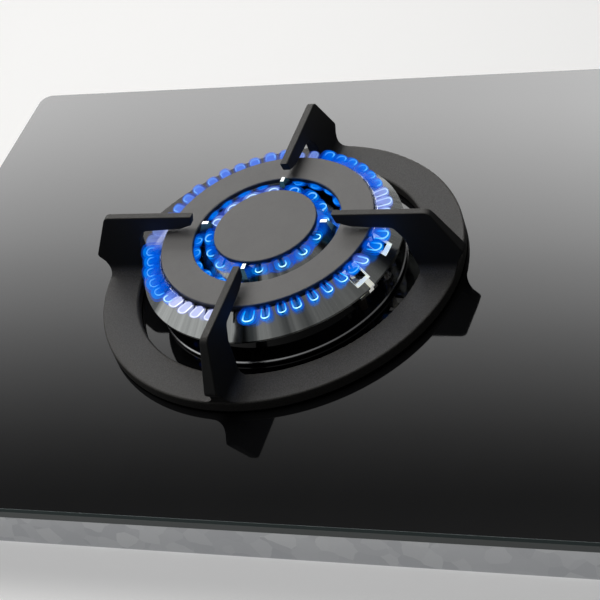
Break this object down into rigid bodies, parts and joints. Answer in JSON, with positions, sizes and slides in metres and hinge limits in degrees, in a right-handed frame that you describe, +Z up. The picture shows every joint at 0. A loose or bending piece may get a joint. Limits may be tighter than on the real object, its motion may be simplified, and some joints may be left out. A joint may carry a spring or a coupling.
{
  "type": "gas cooktop",
  "caption": "Built-in gas-on-glass cooktop with one double-ring burner, round cast-iron pan support and a front control knob.",
  "frame": {"origin": "middle of the flat underside of the bottom tray, under the middle of the glass plate", "axes": "+Z up out of the glass, -Y to the front where the knob is, +X to the user's right"},
  "size_m": [0.38, 0.52, 0.1008],
  "materials": {
    "black_glass": "polished, ground edge",
    "seal_foam": "closed-cell foam",
    "silicone": "matt silicone",
    "galvanised_steel": "galvanised sheet",
    "screw_steel": "zinc plated",
    "black_enamel": "black enamel",
    "die_cast_aluminium": "as cast",
    "brushed_aluminium": "turned and brushed",
    "matt_enamel": "matt enamel",
    "cast_iron": "matt enamelled, fine grain",
    "brass": "machined",
    "ceramic": "glazed ceramic",
    "probe_steel": "heat-darkened stainless steel",
    "tap_aluminium": "pressure cast",
    "bonnet_steel": "plated",
    "tube_aluminium": "drawn",
    "black_plastic": "satin moulded",
    "white_plastic": "moulded",
    "lead_rubber": "silicone insulated lead",
    "copper_lead": "copper capillary"
  },
  "bodies": {
    "root": {"glass_top": "black_glass", "worktop_seal": "seal_foam", "bottom_tray": "galvanised_steel", "rear_panel": "galvanised_steel", "tray_brackets": "galvanised_steel", "tray_screws": "screw_steel", "burner_seal": "silicone", "lower_seal": "silicone", "burner_base": "black_enamel", "clamp_plate": "galvanised_steel", "burner_cup": "die_cast_aluminium", "burner_screws": "screw_steel", "inner_injector": "brass", "outer_injectors": "brass", "electrode_insulator": "ceramic", "ignition_electrode": "probe_steel", "electrode_clip": "screw_steel", "thermocouple_probe": "probe_steel", "thermocouple_nut": "brass", "tap_body": "tap_aluminium", "tap_bonnet": "bonnet_steel", "bonnet_screws": "screw_steel", "magnet_unit": "tap_aluminium", "ignition_switch": "black_plastic", "knob_bezel": "probe_steel", "spindle_seal": "silicone", "tap_bracket": "galvanised_steel", "tap_bracket_screws": "screw_steel", "inlet_elbow": "brass", "inlet_locknut": "galvanised_steel", "inlet_tube": "tube_aluminium", "inner_supply_tube": "tube_aluminium", "outer_supply_tube": "tube_aluminium", "tube_nuts": "brass", "spark_generator": "black_plastic", "generator_screws": "screw_steel", "terminal_block": "white_plastic", "cable_gland": "black_plastic", "ignition_lead": "lead_rubber", "thermocouple_lead": "copper_lead", "switch_lead": "lead_rubber", "supply_lead": "lead_rubber"},
    "pan_support": {"pan_support": "cast_iron", "support_feet": "silicone"},
    "flame_crown": {"flame_crown": "brushed_aluminium", "flame_hub": "brushed_aluminium", "crown_bridges": "brushed_aluminium"},
    "ring_cap": {"ring_cap": "matt_enamel"},
    "inner_cap": {"inner_cap": "matt_enamel"},
    "tap_plug": {"tap_plug": "brass", "spindle_spring": "screw_steel"},
    "knob": {"control_knob": "black_plastic", "knob_clip": "screw_steel", "tap_spindle": "probe_steel", "switch_disc": "black_plastic"},
    "switch_plunger": {"switch_plunger": "white_plastic"},
    "safety_valve": {"safety_valve": "brass"}
  },
  "joints": [
    {"name": "pan_support_lift", "type": "slide", "parent": "root", "child": "pan_support", "axis": [0, 0, 1], "range_m": [0, 0.16]},
    {"name": "flame_crown_lift", "type": "slide", "parent": "root", "child": "flame_crown", "axis": [0, 0, 1], "range_m": [0, 0.05]},
    {"name": "ring_cap_lift", "type": "slide", "parent": "flame_crown", "child": "ring_cap", "axis": [0, 0, 1], "range_m": [0, 0.05]},
    {"name": "inner_cap_lift", "type": "slide", "parent": "flame_crown", "child": "inner_cap", "axis": [0, 0, 1], "range_m": [0, 0.06]},
    {"name": "knob_turn", "type": "hinge", "parent": "root", "child": "tap_plug", "pos_m": [0, -0.222, 0.0265], "axis": [0, 0, 1], "range_deg": [-90, 120]},
    {"name": "knob_push", "type": "slide", "parent": "tap_plug", "child": "knob", "axis": [0, 0, -1], "range_m": [0, 0.003], "stiffness_N_per_m": 400, "springref_m": -0.012, "deforming": ["spindle_spring"]},
    {"name": "switch_plunger_press", "type": "slide", "parent": "root", "child": "switch_plunger", "axis": [0, 0, -1], "range_m": [0, 0.0031]},
    {"name": "safety_valve_close", "type": "slide", "parent": "root", "child": "safety_valve", "axis": [1, 0, 0], "range_m": [0, 0.002], "stiffness_N_per_m": 100, "springref_m": -0.01}
  ],
  "couplings": [
    {"joint": "flame_crown_lift", "follows": "pan_support_lift", "ratio": 0.3},
    {"joint": "ring_cap_lift", "follows": "pan_support_lift", "ratio": 0.3},
    {"joint": "switch_plunger_press", "follows": "knob_push", "ratio": 1}
  ]
}
